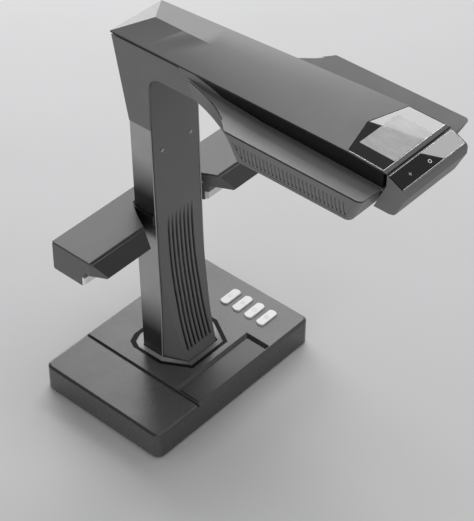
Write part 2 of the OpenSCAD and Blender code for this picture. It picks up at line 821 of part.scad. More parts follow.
module bar_plan(inset) {
    half = bar_length / 2 - inset;
    rear = bar_rear + inset;
    difference() {
        polygon([[rear, -half], [1.1, -half], [bar_nose[0] + 0.1 - inset, 7.6 - half],
            [bar_nose[0] + 0.1 - inset, half - 7.6], [1.1, half], [rear, half]]);
        polygon(concat([for (x = [-29.3:4:22.7]) [x - inset, gap_half(x) + inset]],
            [for (x = [22.7:-4:-29.3]) [x - inset, -gap_half(x) - inset]]));
    }
}

module bar_form(z0, z1) {
    intersection() {
        side_slab(bar_outline, -bar_length / 2, bar_length / 2);
        translate([0, 0, z0]) linear_extrude(z1 - z0) bar_plan(0);
    }
}

// One half's hollow, left or right of the column
module bar_cavity() {
    both_sides() side_slab([[bar_rear + wall, bar_top + 1], [-2, bar_top + 1],
        [0.3, bar_top - bar_lid - bar_seam],
        [12.4, bar_nose[1] + 0.7], [11.4, bar_nose[1] + 0.2], [lens_front - 2, bar_nose[1] + 0.2],
        [lens_front - 2, lens_high + 2.2], [lens_back - 2, lens_high + 2.2],
        [lens_back - 2, bar_floor + wall],
        [bar_rear + wall, bar_floor + wall]], gap_half(bar_nose[0]) + wall, bar_length / 2 - 7.6);
}

// Pocket for the light's lens at the lower front edge, open to the hollow behind it
module lens_pocket() {
    both_sides() {
        side_slab([[lens_back - 0.1, lens_low - 3], [lens_back - 0.1, lens_high + 0.1],
            [lens_front + 2, lens_high + 0.1], [lens_front + 2, lens_low - 3]], 30, bar_length / 2 + 1);
        side_slab([[lens_back - 3, lens_low + 1.8], [lens_back - 3, lens_high - 1.8],
            [lens_back, lens_high - 1.8], [lens_back, lens_low + 1.8]], 58, bar_length / 2 - 9);
    }
}

module side_light_top_shell() {
    color("gray") on_column() bar_form(bar_top - bar_lid, bar_top);
}

module side_light_bottom_shell() {
    seam = bar_top - bar_lid - bar_seam;
    color("dimgray") on_column() difference() {
        union() {
            bar_form(bar_floor - 1, seam);
            intersection() {
                bar_form(seam - 0.1, bar_top - bar_lid - 0.02);
                translate([0, 0, bar_floor]) linear_extrude(50) bar_plan(0.7);
                side_slab([for (p = bar_outline) [p[0] - 0.8, p[1]]], -bar_length, bar_length);
            }
        }
        bar_cavity();
        lens_pocket();
    }
}

module side_light_diffusers() {
    color("white") on_column() both_sides() intersection() {
        side_slab([[lens_back, lens_low], [lens_back, lens_high], [lens_front, lens_high],
            [lens_front, lens_low + 1], [lens_front - 1, lens_low]], 30, bar_length / 2 - 0.3);
        translate([0, 0, bar_floor]) linear_extrude(30) bar_plan(0);
    }
}

module side_light_boards() {
    on_column() both_sides() {
        color("white") translate([lens_back - 3.22, 62, bar_floor + wall + 0.1]) cube([1.2, 42, 8]);
        color("khaki") for (i = [0:5]) translate([lens_back - 2.1, 65 + i * 7, lens_low + 2.6])
            cube([0.9, 3, 3]);
    }
}

module side_light_clip() {
    low = (bar_top + bar_floor) / 2 + 4.2;
    rear = rear_x(bar_top);
    color("black") on_column() difference() {
        translate([-29.25, -33.6, low]) cube([27.6, 67.2, 10.2]);
        translate([rear - 0.3, -column_half - 0.3, low - 1]) cube([40, column_width + 0.6, 20]);
        linear_extrude(400) difference() {
            translate([-60, -60]) square([80, 120]);
            polygon(concat([for (x = [-29.3:2:0.7]) [x, gap_half(x) - 0.03]],
                [for (x = [0.7:-2:-29.3]) [x, 0.03 - gap_half(x)]]));
        }
    }
}

// ---------- parts ----------

translate(-outline_middle) {
    base_top_cover();
    base_side_cover();
    base_bottom_plate();
    rubber_feet();
    ballast_plate();
    label_plate();
    base_screws();
    main_board();
    usb_ports();
    video_port();
    accessory_port();
    power_inlet();
    power_switch_housing();
    power_rocker();
    key_board();
    key_switches();
    key_1();
    key_2();
    key_3();
    key_4();
    column_collar();
    column_spine();
    column_shell();
    column_front_panel();
    panel_caps();
    wiring_harness();
    head_housing();
    arm_roof_cover();
    arm_tray();
    arm_beam();
    screen_glass();
    display_module();
    nose_cover();
    touch_panel();
    touch_board();
    vent_grille_left();
    vent_grille_right();
    lamp_diffusers();
    lamp_boards();
    heat_sink();
    camera_board();
    camera_barrel();
    camera_lens();
    camera_window();
    side_light_top_shell();
    side_light_bottom_shell();
    side_light_diffusers();
    side_light_boards();
    side_light_clip();
}
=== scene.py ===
"""Looks of the document camera: materials, fine details, floor, studio light and camera."""
import math

import bmesh
import bpy
from mathutils import Matrix, Vector


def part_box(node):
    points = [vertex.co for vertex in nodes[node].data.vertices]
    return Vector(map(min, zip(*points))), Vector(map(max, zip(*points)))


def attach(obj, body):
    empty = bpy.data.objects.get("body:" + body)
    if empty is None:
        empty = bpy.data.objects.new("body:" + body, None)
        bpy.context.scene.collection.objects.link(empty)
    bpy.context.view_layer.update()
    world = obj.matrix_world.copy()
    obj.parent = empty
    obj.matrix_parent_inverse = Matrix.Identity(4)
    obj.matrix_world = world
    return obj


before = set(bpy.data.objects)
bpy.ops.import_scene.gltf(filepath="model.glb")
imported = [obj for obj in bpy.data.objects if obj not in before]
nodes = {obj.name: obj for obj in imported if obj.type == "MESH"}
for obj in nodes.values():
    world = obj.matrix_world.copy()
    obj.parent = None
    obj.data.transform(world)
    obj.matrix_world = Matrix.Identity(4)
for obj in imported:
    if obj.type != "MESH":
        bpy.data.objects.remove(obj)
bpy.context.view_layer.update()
scene = bpy.context.scene

MM = 0.001


def middle_of(name):
    """The middle of a CAD node's box, in the model's frame"""
    low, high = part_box(name)
    return (low + high) / 2


# part.scad is drawn from the point on the table under the middle of the base
DESIGN_ORIGIN = middle_of("base_top_cover") * Vector((1, 1, 0))
# the column and the head stand this far to the side of the base's middle, in millimetres
COLUMN_Y = 4.5


def at(x, y, z):
    """A point of the design, given in millimetres, in the model's frame"""
    return DESIGN_ORIGIN + Vector((x, y, z)) * MM


# ---------- camera ----------

CAMERA_PLACE = at(843.4, -895.0, 1183.9)
CAMERA_LOOK = Vector((-0.4957, 0.5747, -0.6511))
CAMERA_ROLL = 0.55
CAMERA_LENS = 122.77


def make_camera():
    """The camera that sees the model as the photo does"""
    look = CAMERA_LOOK.normalized()
    right = look.cross(Vector((0, 0, 1))).normalized()
    up = right.cross(look)
    roll = math.radians(CAMERA_ROLL)
    x_axis = right * math.cos(roll) + up * math.sin(roll)
    y_axis = up * math.cos(roll) - right * math.sin(roll)
    data = bpy.data.cameras.new("camera")
    data.lens = CAMERA_LENS
    data.sensor_width = 36
    data.clip_start, data.clip_end = 0.05, 50
    camera = bpy.data.objects.new("camera", data)
    matrix = Matrix((x_axis, y_axis, -look)).transposed().to_4x4()
    matrix.translation = CAMERA_PLACE
    camera.matrix_world = matrix
    scene.collection.objects.link(camera)
    scene.camera = camera


make_camera()

# ---------- materials ----------


def new_material(name):
    """A material with its node tree and its shader"""
    material = bpy.data.materials.new(name)
    material.use_nodes = True
    tree = material.node_tree
    return material, tree, tree.nodes["Principled BSDF"]


def noise(tree, scale, detail=3.0, rough=0.55, stretch=None):
    """Even noise over the object; stretch makes it finer along each axis by that much"""
    coords = tree.nodes.new("ShaderNodeTexCoord")
    texture = tree.nodes.new("ShaderNodeTexNoise")
    texture.inputs["Scale"].default_value = scale
    texture.inputs["Detail"].default_value = detail
    texture.inputs["Roughness"].default_value = rough
    if stretch:
        mapping = tree.nodes.new("ShaderNodeMapping")
        mapping.inputs["Scale"].default_value = stretch
        tree.links.new(coords.outputs["Object"], mapping.inputs["Vector"])
        tree.links.new(mapping.outputs["Vector"], texture.inputs["Vector"])
    else:
        tree.links.new(coords.outputs["Object"], texture.inputs["Vector"])
    return texture.outputs["Fac"]


def spread(tree, value, low, high, start=0.3, end=0.7):
    """value, stretched from start..end to low..high"""
    node = tree.nodes.new("ShaderNodeMapRange")
    for socket, number in (("From Min", start), ("From Max", end), ("To Min", low), ("To Max", high)):
        node.inputs[socket].default_value = number
    tree.links.new(value, node.inputs["Value"])
    return node.outputs["Result"]


def vary_colour(tree, shader, colour, value, amount):
    """The base colour, a little darker and lighter over the surface"""
    ramp = tree.nodes.new("ShaderNodeValToRGB")
    ramp.color_ramp.elements[0].position, ramp.color_ramp.elements[1].position = 0.3, 0.7
    for element, factor in zip(ramp.color_ramp.elements, (1 - amount, 1 + amount)):
        element.color = [min(1.0, c * factor) for c in colour] + [1]
    tree.links.new(value, ramp.inputs["Fac"])
    tree.links.new(ramp.outputs["Color"], shader.inputs["Base Color"])


def bump(tree, shader, heights):
    """heights is a list of (value, depth in metres, strength)"""
    normal = None
    for value, depth, strength in heights:
        node = tree.nodes.new("ShaderNodeBump")
        node.inputs["Distance"].default_value = depth
        node.inputs["Strength"].default_value = strength
        tree.links.new(value, node.inputs["Height"])
        if normal:
            tree.links.new(normal, node.inputs["Normal"])
        normal = node.outputs["Normal"]
    tree.links.new(normal, shader.inputs["Normal"])


def plastic(name, colour, rough, grain=0.00006, mottle=0.05, specular=0.5):
    """Moulded plastic with a fine spark-eroded grain"""
    material, tree, shader = new_material(name)
    fine = noise(tree, 2600, 2, 0.6)
    broad = noise(tree, 38, 4, 0.6)
    vary_colour(tree, shader, colour, broad, mottle)
    tree.links.new(spread(tree, broad, rough - 0.035, rough + 0.035), shader.inputs["Roughness"])
    bump(tree, shader, [(fine, grain, 0.35), (noise(tree, 260, 2, 0.5), grain * 0.8, 0.12)])
    shader.inputs["Specular IOR Level"].default_value = specular
    return material


def mix_colours(tree, shader, factor, low, high):
    """The base colour, low where the factor is 0 and high where it is 1"""
    mix = tree.nodes.new("ShaderNodeMix")
    mix.data_type = "RGBA"
    for socket, colour in ((mix.inputs[6], low), (mix.inputs[7], high)):
        if isinstance(colour, tuple):
            socket.default_value = (*colour, 1)
        else:
            tree.links.new(colour, socket)
    tree.links.new(factor, mix.inputs[0])
    tree.links.new(mix.outputs[2], shader.inputs["Base Color"])


def scale_colour(material, factor, amount):
    """Multiplies the material's colour by amount where the factor is 1"""
    tree = material.node_tree
    shader = tree.nodes["Principled BSDF"]
    colour = shader.inputs["Base Color"].links[0].from_socket
    scale = tree.nodes.new("ShaderNodeVectorMath")
    scale.operation = "SCALE"
    scale.inputs["Scale"].default_value = amount
    tree.links.new(colour, scale.inputs[0])
    mix_colours(tree, shader, factor, colour, scale.outputs[0])


def facing(material, direction, start, end):
    """1 on the faces that look in the direction, given as cosines where it starts and is full"""
    tree = material.node_tree
    coords = tree.nodes.new("ShaderNodeTexCoord")
    dot = tree.nodes.new("ShaderNodeVectorMath")
    dot.operation = "DOT_PRODUCT"
    dot.inputs[1].default_value = direction
    tree.links.new(coords.outputs["Normal"], dot.inputs[0])
    return spread(tree, dot.outputs["Value"], 0, 1, start, end)


def along(material, axis, start, end):
    """Runs from 0 at start to 1 at end along an axis, in metres"""
    tree = material.node_tree
    coords = tree.nodes.new("ShaderNodeTexCoord")
    parts = tree.nodes.new("ShaderNodeSeparateXYZ")
    tree.links.new(coords.outputs["Object"], parts.inputs["Vector"])
    return spread(tree, parts.outputs[axis], 0, 1, start, end)


def both(material, first, second):
    """The product of two factors"""
    product = material.node_tree.nodes.new("ShaderNodeMath")
    product.operation = "MULTIPLY"
    material.node_tree.links.new(first, product.inputs[0])
    material.node_tree.links.new(second, product.inputs[1])
    return product.outputs[0]


def ribbed(name, colour):
    """Black grille band with fine upright ribs"""
    material, tree, shader = new_material(name)
    coords = tree.nodes.new("ShaderNodeTexCoord")
    wave = tree.nodes.new("ShaderNodeTexWave")
    wave.inputs["Scale"].default_value = 150
    tree.links.new(coords.outputs["Object"], wave.inputs["Vector"])
    vary_colour(tree, shader, colour, wave.outputs["Fac"], 0.6)
    tree.links.new(spread(tree, noise(tree, 300, 2), 0.45, 0.6), shader.inputs["Roughness"])
    bump(tree, shader, [(wave.outputs["Fac"], 0.0003, 0.5)])
    return material


def metal(name, colour, rough, stretch=(1, 1, 40)):
    """Brushed metal with fine lines along one direction"""
    material, tree, shader = new_material(name)
    lines = noise(tree, 420, 3, 0.6, stretch)
    vary_colour(tree, shader, colour, lines, 0.08)
    tree.links.new(spread(tree, lines, rough - 0.08, rough + 0.1), shader.inputs["Roughness"])
    bump(tree, shader, [(lines, 0.00003, 0.25)])
    shader.inputs["Metallic"].default_value = 1.0
    return material


def gloss(name, colour, rough=0.04, ior=1.5, streaks=0.00001):
    """Polished black glass or acrylic with very faint smears"""
    material, tree, shader = new_material(name)
    smear = noise(tree, 60, 5, 0.65, (1, 3, 1))
    vary_colour(tree, shader, colour, smear, 0.12)
    tree.links.new(spread(tree, smear, rough, rough + 0.012), shader.inputs["Roughness"])
    bump(tree, shader, [(noise(tree, 24, 2, 0.5), streaks, 0.02)])
    shader.inputs["IOR"].default_value = ior
    return material


def rubber(name, colour):
    """Dull rubber with a coarse grain"""
    material, tree, shader = new_material(name)
    grain = noise(tree, 1500, 4, 0.7)
    vary_colour(tree, shader, colour, grain, 0.25)
    tree.links.new(spread(tree, grain, 0.75, 0.9), shader.inputs["Roughness"])
    bump(tree, shader, [(grain, 0.00012, 0.5)])
    return material


def circuit_board(name, mask, trace):
    """Solder mask with lighter tracks running both ways"""
    material, tree, shader = new_material(name)
    coords = tree.nodes.new("ShaderNodeTexCoord")
    brick = tree.nodes.new("ShaderNodeTexBrick")
    brick.inputs["Scale"].default_value = 160
    brick.inputs["Mortar Size"].default_value = 0.012
    brick.inputs["Color1"].default_value = [*mask, 1]
    brick.inputs["Color2"].default_value = [c * 0.8 for c in mask] + [1]
    brick.inputs["Mortar"].default_value = [*trace, 1]
    tree.links.new(coords.outputs["Object"], brick.inputs["Vector"])
    tree.links.new(brick.outputs["Color"], shader.inputs["Base Color"])
    tree.links.new(spread(tree, brick.outputs["Fac"], 0.3, 0.45, 0, 1), shader.inputs["Roughness"])
    bump(tree, shader, [(brick.outputs["Fac"], 0.00003, 0.4)])
    return material


def diffuser(name, colour):
    """Frosted acrylic with fine prism lines"""
    material, tree, shader = new_material(name)
    coords = tree.nodes.new("ShaderNodeTexCoord")
    wave = tree.nodes.new("ShaderNodeTexWave")
    wave.bands_direction = "Y"
    wave.inputs["Scale"].default_value = 420
    tree.links.new(coords.outputs["Object"], wave.inputs["Vector"])
    vary_colour(tree, shader, colour, noise(tree, 90, 2), 0.03)
    bump(tree, shader, [(wave.outputs["Fac"], 0.00006, 0.5)])
    tree.links.new(spread(tree, noise(tree, 300, 2), 0.28, 0.4), shader.inputs["Roughness"])
    shader.inputs["Subsurface Weight"].default_value = 0.25
    shader.inputs["Subsurface Scale"].default_value = 0.003
    return material


def lens_glass(name, colour):
    """Tinted clear glass with a coating"""
    material, tree, shader = new_material(name)
    tint = noise(tree, 35, 2)
    vary_colour(tree, shader, colour, tint, 0.3)
    tree.links.new(spread(tree, tint, 0.02, 0.05), shader.inputs["Roughness"])
    shader.inputs["Transmission Weight"].default_value = 0.85
    shader.inputs["IOR"].default_value = 1.6
    shader.inputs["Coat Weight"].default_value = 0.6
    shader.inputs["Coat Roughness"].default_value = 0.03
    return material


# which way the faces look whose colour is scaled as painted light and shade, because the lights alone
# don't match the photo there
FRONT, NEAR, FAR, UP = (1, 0, 0), (0, -1, 0), (0, 1, 0), (0, 0, 1)
WING_FRONT = (0.91, 0, -0.42)
BASE_BEVEL = (0, -0.707, 0.707)
BAR_SLOPE = (0.614, 0, 0.789)
ROOF_REAR = (-0.32, 0, 0.947)


def column_plastic_painted_shade():
    """The column's light plastic with painted shade: its near side turns black above the side light and
    near the foot
    """
    light = plastic("shell_plastic_light", (0.4, 0.4, 0.403), 0.32)
    near_side = facing(light, NEAR, 0.7, 0.95)
    painted_shadow_above_bar = both(light, along(light, "Z", 0.255, 0.213), along(light, "Z", 0.168, 0.175))
    # painted shade: the near side is darkened above the side light and near the foot
    for shade in (painted_shadow_above_bar, along(light, "Z", 0.1, 0.055)):
        scale_colour(light, both(light, near_side, shade), 0.06)
    return light


def painted_light_roof():
    """The roof's plastic with painted light and shade: a painted bright rear and far half, a painted dark
    near half and lip
    """
    roof = plastic("roof_plastic", (0.19, 0.19, 0.193), 0.5, specular=0.35)
    # painted light on the rear and far faces, painted shade on the near faces and the lip
    scale_colour(roof, facing(roof, ROOF_REAR, 0.985, 0.997), 2.2)
    scale_colour(roof, facing(roof, FAR, 0.02, 0.16), 1.4)
    scale_colour(roof, facing(roof, NEAR, -0.1, 0.1), 0.5)
    scale_colour(roof, facing(roof, UP, 0.75, 0.2), 0.35)
    return roof


shell = plastic("shell_plastic", (0.17, 0.17, 0.173), 0.38)
# painted shade: the wing's front faces are darker
scale_colour(shell, facing(shell, WING_FRONT, 0.88, 0.97), 0.62)
shell_base = plastic("shell_plastic_base", (0.075, 0.075, 0.077), 0.27, mottle=0.03, specular=0.6)
# painted shade: the base's near bevel and its front faces are darker
scale_colour(shell_base, facing(shell_base, BASE_BEVEL, 0.86, 0.96), 0.3)
scale_colour(shell_base, facing(shell_base, FRONT, 0.8, 0.98), 0.7)
shell_bar = plastic("shell_plastic_bar", (0.115, 0.115, 0.117), 0.38)
# painted shade: the side light's sloped faces are darker
scale_colour(shell_bar, facing(shell_bar, BAR_SLOPE, 0.96, 0.99), 0.3)
shell_dark = plastic("shell_plastic_dark", (0.13, 0.13, 0.133), 0.4)
shell_light = column_plastic_painted_shade()
roof_plastic = painted_light_roof()
black = plastic("black_plastic", (0.008, 0.008, 0.009), 0.55)
# painted shade: black fill laid into the gaps and grooves
painted_gap_shade = plastic("painted_gap_shade", (0.003, 0.003, 0.0035), 0.7, mottle=0.1, specular=0.2)
key_white = plastic("key_plastic", (0.86, 0.86, 0.85), 0.38, grain=0.00002, mottle=0.015)
icon_grey = plastic("icon_grey", (0.42, 0.42, 0.43), 0.5, grain=0.00002)
icon_light = plastic("icon_light", (0.72, 0.72, 0.73), 0.4, grain=0.00001)
collar_grey = plastic("collar_plastic", (0.42, 0.42, 0.42), 0.4)
# painted shade: the collar is darker towards its front
scale_colour(collar_grey, along(collar_grey, "X", -0.085, -0.068), 0.3)
band_black = ribbed("band_black", (0.004, 0.004, 0.0045))
gold = metal("contact_metal", (0.75, 0.55, 0.22), 0.3, (1, 1, 1))
label_dark = plastic("label_plastic", (0.07, 0.07, 0.072), 0.36, grain=0.00003)
glass_black = gloss("screen_glass", (0.016, 0.016, 0.017), 0.004)
panel_black = gloss("touch_glass", (0.012, 0.012, 0.013), 0.004)
lcd_grey = gloss("display_picture", (0.55, 0.553, 0.55), 0.02, 1.2)
# painted highlight: light grey strips along the glass edges
painted_edge_highlight = gloss("painted_highlight_strip", (0.62, 0.62, 0.63), 0.15, 1.6)
foot_rubber = rubber("foot_rubber", (0.02, 0.02, 0.02))
wire_rubber = rubber("wire_rubber", (0.015, 0.015, 0.015))
steel = metal("steel", (0.55, 0.55, 0.56), 0.3, (40, 1, 1))
zinc = metal("cap_metal", (0.35, 0.35, 0.36), 0.4, (1, 1, 1))
aluminium = metal("aluminium", (0.72, 0.73, 0.74), 0.35)
board_green = circuit_board("circuit_board", (0.01, 0.08, 0.03), (0.06, 0.24, 0.08))
board_white = circuit_board("lamp_board", (0.75, 0.75, 0.72), (0.9, 0.88, 0.8))
lamp_white = diffuser("lamp_diffuser", (0.9, 0.9, 0.88))
lens = lens_glass("lens_glass", (0.25, 0.3, 0.45))
window = lens_glass("window_glass", (0.7, 0.75, 0.8))
rocker_black = plastic("rocker_plastic", (0.012, 0.012, 0.012), 0.3, grain=0.00002)
bezel_dark = plastic("bezel_plastic", (0.05, 0.05, 0.051), 0.4)
key_mark = plastic("key_mark", (0.5, 0.5, 0.5), 0.4, grain=0.00001)
usb_blue = plastic("tongue_plastic", (0.02, 0.09, 0.35), 0.4)

# ---------- the CAD nodes keep their shape; they get materials and softened edges ----------

LOOKS = {
    shell: "head_housing nose_cover vent_grille_left vent_grille_right",
    shell_base: "base_top_cover base_side_cover",
    shell_bar: "side_light_top_shell side_light_bottom_shell",
    roof_plastic: "arm_roof_cover",
    shell_dark: "column_front_panel",
    shell_light: "column_shell",
    # the side light clip is black plastic; its black also stands in for the shade between the side light
    # and the column
    black: "base_bottom_plate power_switch_housing power_inlet key_switches camera_barrel side_light_clip",
    band_black: "arm_tray",
    key_white: "key_1 key_2 key_3 key_4",
    collar_grey: "column_collar",
    label_dark: "label_plate",
    glass_black: "screen_glass",
    panel_black: "touch_panel",
    lcd_grey: "display_module",
    foot_rubber: "rubber_feet",
    wire_rubber: "wiring_harness",
    steel: "ballast_plate base_screws usb_ports video_port accessory_port",
    zinc: "panel_caps",
    aluminium: "column_spine arm_beam heat_sink",
    board_green: "main_board key_board touch_board camera_board",
    board_white: "lamp_boards side_light_boards",
    lamp_white: "lamp_diffusers side_light_diffusers",
    lens: "camera_lens",
    window: "camera_window",
    rocker_black: "power_rocker",
}
# the width of the rounding on each node's edges, in millimetres
SOFT_EDGES = {
    "base_top_cover": 0.9, "base_side_cover": 0.7, "head_housing": 0.8, "arm_roof_cover": 0.5,
    "nose_cover": 0.6, "column_shell": 0.5, "column_front_panel": 0.35, "side_light_top_shell": 0.5,
    "side_light_bottom_shell": 0.6, "column_collar": 0.6, "key_1": 0.7, "key_2": 0.7, "key_3": 0.7,
    "key_4": 0.7, "label_plate": 0.2, "rubber_feet": 0.4, "base_bottom_plate": 0.4, "screen_glass": 0.15,
    "touch_panel": 0.15, "power_rocker": 0.3, "usb_ports": 0.15, "video_port": 0.15,
    "accessory_port": 0.15, "power_inlet": 0.25, "power_switch_housing": 0.25, "side_light_clip": 0.3,
    "lamp_diffusers": 0.3, "side_light_diffusers": 0.25, "panel_caps": 0.12, "base_screws": 0.15,
}
# angles in degrees: faces within the first are merged, unless the node is curved and has a finer one
FLAT_WITHIN = 0.6
CURVED_WITHIN = {"arm_roof_cover": 0.02}
SHARP_ABOVE = 19
ROUNDED_ABOVE = 22


def crisp_shading(limit):
    """Geometry nodes that shade smooth and mark every edge above the limit, in degrees, as sharp"""
    group = bpy.data.node_groups.new("crisp_shading", "GeometryNodeTree")
    group.interface.new_socket("Geometry", in_out="INPUT", socket_type="NodeSocketGeometry")
    group.interface.new_socket("Geometry", in_out="OUTPUT", socket_type="NodeSocketGeometry")
    add = group.nodes.new
    start, end = add("NodeGroupInput"), add("NodeGroupOutput")
    strip = add("GeometryNodeRemoveAttribute")
    strip.inputs["Name"].default_value = "custom_normal"
    faces, edges = add("GeometryNodeSetShadeSmooth"), add("GeometryNodeSetShadeSmooth")
    faces.domain, edges.domain = "FACE", "EDGE"
    edges.inputs["Shade Smooth"].default_value = False
    angle, above = add("GeometryNodeInputMeshEdgeAngle"), add("FunctionNodeCompare")
    above.operation = "GREATER_THAN"
    above.inputs[1].default_value = math.radians(limit)
    link = group.links.new
    link(start.outputs[0], strip.inputs["Geometry"])
    link(strip.outputs["Geometry"], faces.inputs["Geometry"])
    link(faces.outputs["Geometry"], edges.inputs["Geometry"])
    link(angle.outputs["Unsigned Angle"], above.inputs[0])
    link(above.outputs["Result"], edges.inputs["Selection"])
    link(edges.outputs["Geometry"], end.inputs[0])
    return group


CRISP = crisp_shading(SHARP_ABOVE)


def soften(obj, width):
    """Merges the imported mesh's facets back into flat faces and rounds the edges between them"""
    weld = obj.modifiers.new("weld", "WELD")
    weld.merge_threshold = 1e-6
    flat = obj.modifiers.new("flat", "DECIMATE")
    flat.decimate_type = "DISSOLVE"
    flat.angle_limit = math.radians(CURVED_WITHIN.get(obj.name, FLAT_WITHIN))
    if width:
        bevel = obj.modifiers.new("bevel", "BEVEL")
        bevel.width = width * MM
        bevel.segments = 3
        bevel.limit_method = "ANGLE"
        bevel.angle_limit = math.radians(ROUNDED_ABOVE)
        bevel.miter_outer = "MITER_ARC"
        bevel.use_clamp_overlap = True
    crisp = obj.modifiers.new("crisp", "NODES")
    crisp.node_group = CRISP
    weighted = obj.modifiers.new("weighted", "WEIGHTED_NORMAL")
    weighted.keep_sharp = True
    weighted.weight = 100


for material, names in LOOKS.items():
    for name in names.split():
        node = nodes[name]
        node.data.materials.clear()
        node.data.materials.append(material)
        soften(node, SOFT_EDGES.get(name, 0))

# ---------- fine pieces ----------

SCREEN_START = at(197.2, COLUMN_Y, 379.3)
SCREEN_TILT = math.radians(2.1)
ON_SCREEN = Matrix.Translation(SCREEN_START) @ Matrix.Rotation(SCREEN_TILT, 4, "Y")
NOSE_START = at(248.3, COLUMN_Y, 376.1)
NOSE_RUN, NOSE_DROP = 15.2, 7.3
ON_NOSE = Matrix.Translation(NOSE_START) @ Matrix.Rotation(math.atan2(NOSE_DROP, NOSE_RUN), 4, "Y")


def level(x, y, z):
    """An upright frame at a point of the design"""
    return Matrix.Translation(at(x, y, z))


def piece(name, bm, matrix, material, body="stand", bevel=0.0):
    """A finished piece in its own frame, riding on a body"""
    bmesh.ops.recalc_face_normals(bm, faces=bm.faces)
    mesh = bpy.data.meshes.new(name)
    bm.to_mesh(mesh)
    bm.free()
    mesh.materials.append(material)
    obj = bpy.data.objects.new(name, mesh)
    obj.matrix_world = matrix
    scene.collection.objects.link(obj)
    if bevel:
        rounding = obj.modifiers.new("bevel", "BEVEL")
        rounding.width = bevel * MM
        rounding.segments = 2
    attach(obj, body)


def add_slab(bm, points, low, high):
    """A flat plate with the outline points, in millimetres, between two heights"""
    rings = [[bm.verts.new(Vector((x, y, z)) * MM) for x, y in points] for z in (low, high)]
    bm.faces.new(rings[0][::-1])
    bm.faces.new(rings[1])
    for i in range(len(points)):
        j = (i + 1) % len(points)
        bm.faces.new((rings[0][i], rings[0][j], rings[1][j], rings[1][i]))


def add_band(bm, outer, inner, low, high):
    """A flat ring between two outlines with the same number of points"""
    loops = [[bm.verts.new(Vector((x, y, z)) * MM) for x, y in points]
             for points, z in ((outer, low), (outer, high), (inner, high), (inner, low))]
    for k in range(4):
        a, b = loops[k], loops[(k + 1) % 4]
        for i in range(len(a)):
            j = (i + 1) % len(a)
            bm.faces.new((a[i], a[j], b[j], b[i]))


def arc(x, y, radius, start, turn, steps):
    """Points along an arc round x, y from the start angle, both angles in degrees"""
    angles = [math.radians(start + turn * i / steps) for i in range(steps + 1)]
    return [(x + radius * math.cos(a), y + radius * math.sin(a)) for a in angles]


def circle(radius, x=0.0, y=0.0, count=32):
    """A circle's outline"""
    return arc(x, y, radius, 0, 360, count)[:-1]


def rectangle(x0, y0, x1, y1):
    """A rectangle's outline"""
    return [(x0, y0), (x1, y0), (x1, y1), (x0, y1)]


def slab_piece(name, outlines, low, high, matrix, material, bevel=0.0):
    """A piece of the stand made of flat plates"""
    bm = bmesh.new()
    for points in outlines:
        add_slab(bm, points, low, high)
    piece(name, bm, matrix, material, bevel=bevel)


def rounded(x0, y0, x1, y1, radius, steps=5):
    """A rectangle's outline with rounded corners"""
    left, right, low, high = x0 + radius, x1 - radius, y0 + radius, y1 - radius
    corners = ((right, low, -90), (right, high, 0), (left, high, 90), (left, low, 180))
    return [point for x, y, start in corners for point in arc(x, y, radius, start, 90, steps)]


def make_screen():
    """The display's picture, painted highlights on the glass's edges, black strips of painted shade in the
    gaps beside it, and the bezel in front
    """
    half, front, strip = 38.75, 46.5, 0.5
    near_edge = [(12.3, 0.8 - half), (front, -half), (front, strip - half), (12.3, 0.8 + strip - half)]
    front_edge = rectangle(front - 0.45, strip - half, front, half)
    far_gap = [(0.8, 0), (12.0, 38.4), (47, 39.2), (47, 38.8), (12.22, 38.0), (1.3, 0)]
    near_gap = [(x, -y) for x, y in reversed(far_gap)]
    bezel = rectangle(46.65, -38.9, 50.5, 38.9)
    slab_piece("display_picture", [rounded(12.1, -24, 45.6, 24, 0.4)], -0.12, 0.0, ON_SCREEN, lcd_grey)
    # painted highlights on the glass edges, and black strips of painted shade in the gaps
    slab_piece("screen_edge_highlights", [near_edge, front_edge], -0.15, 0.1, ON_SCREEN, painted_edge_highlight)
    slab_piece("screen_gap", [far_gap, near_gap], -0.3, 0.09, ON_SCREEN, painted_gap_shade)
    slab_piece("screen_bezel", [bezel], -0.2, 0.1, ON_SCREEN, bezel_dark, bevel=0.1)
    slab_piece("nose_gap", [rectangle(50.55, -39.6, 51.1, 39.6)], -0.3, 0.03, ON_SCREEN, painted_gap_shade)


def make_touch_panel():
    """Painted highlights on the touch panel's edges, a black strip of painted shade in the gap on its near
    side, and a ring and a plus on the panel
    """
    rear, front, strip, near, far = 1.0, 16.05, 0.45, -39, 38.4
    rear_edge = [(rear, near), (rear + strip, near), (rear + strip, far + 0.5), (rear, far)]
    front_edge = [(front - strip, near), (front, near), (front, far), (front - strip, far + 0.5)]
    far_edge = [(rear, far), (rear + strip, far + 0.4), (front - strip, far + 0.4), (front, far),
                (front - 0.85, far + 0.85), (rear + 0.85, far + 0.85)]
    slab_piece("touch_panel_edge_highlights", [rear_edge, front_edge, far_edge], -0.1, 0.14, ON_NOSE, painted_edge_highlight)
    slab_piece("touch_panel_gap", [rectangle(0.6, -40.1, 16.3, near)], -0.4, 0.18, ON_NOSE, painted_gap_shade)
    bm = bmesh.new()
    add_band(bm, circle(1.75, 10.6, 0.4), circle(1.05, 10.6, 0.4), 0.02, 0.09)
    piece("touch_icon_ring", bm, ON_NOSE, icon_light)
    x, y, line, arm = 9.3, -22.7, 0.3, 1.5
    across = rectangle(x - arm, y - line, x + arm, y + line)
    lower = rectangle(x - line, y - arm, x + line, y - line)
    upper = rectangle(x - line, y + line, x + line, y + arm)
    slab_piece("touch_icon_plus", [across, lower, upper], 0.02, 0.08, ON_NOSE, icon_grey)


